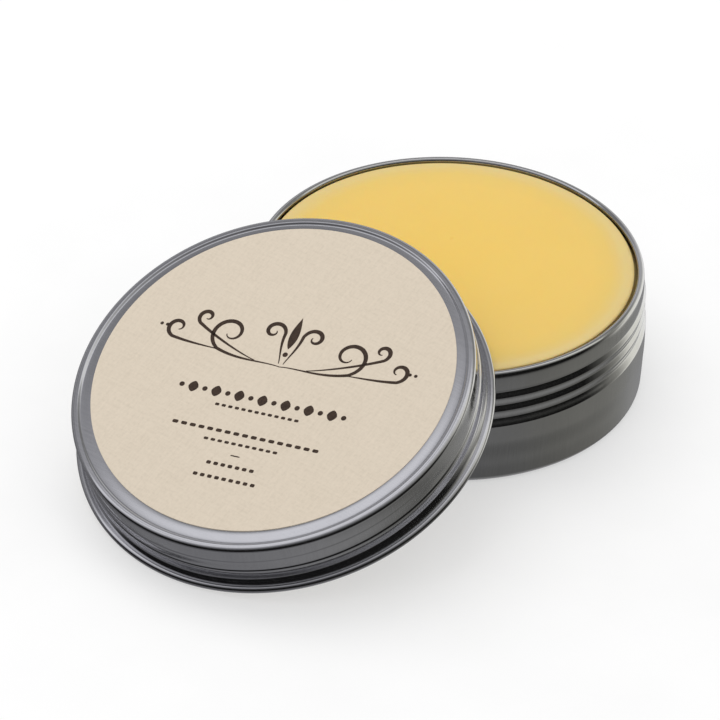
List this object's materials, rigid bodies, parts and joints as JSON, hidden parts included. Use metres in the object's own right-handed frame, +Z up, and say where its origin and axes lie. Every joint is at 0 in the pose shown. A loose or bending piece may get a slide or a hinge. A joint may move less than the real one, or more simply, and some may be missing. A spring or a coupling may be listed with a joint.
{
  "type": "shoe polish tin",
  "caption": "Round screw-top tin of wax polish, open, with its labelled lid leaning on the can's rim and one edge on the table.",
  "frame": {"origin": "centre of the can's flat base", "axes": "+Z up along the can's axis, -X towards the low side of the leaning lid"},
  "size_m": [0.109, 0.069, 0.0341],
  "materials": {
    "tinplate": "satin tinplate with a fine drawn grain",
    "wax": "soft semi-gloss amber wax, slightly translucent",
    "lid_tinplate": "satin tinplate, fine directional brushing on the top",
    "pulpboard": "matte off-white pulpboard",
    "label_paper": "matte cream linen-grain paper with dark brown print"
  },
  "bodies": {
    "can": {"can_shell": "tinplate", "wax_polish": "wax"},
    "liner": {"lid_liner": "pulpboard"},
    "lid": {"lid_shell": "lid_tinplate", "lid_label": "label_paper"}
  },
  "joints": [
    {"name": "lid_lift", "type": "slide", "parent": "can", "child": "liner", "axis": [0, 0, 1], "range_m": [0, 0.05]},
    {"name": "lid_turn", "type": "hinge", "parent": "liner", "child": "lid", "pos_m": [-0.04231, 0, 0.0132], "axis": [-0.3709, 0, 0.9287], "continuous": true}
  ]
}
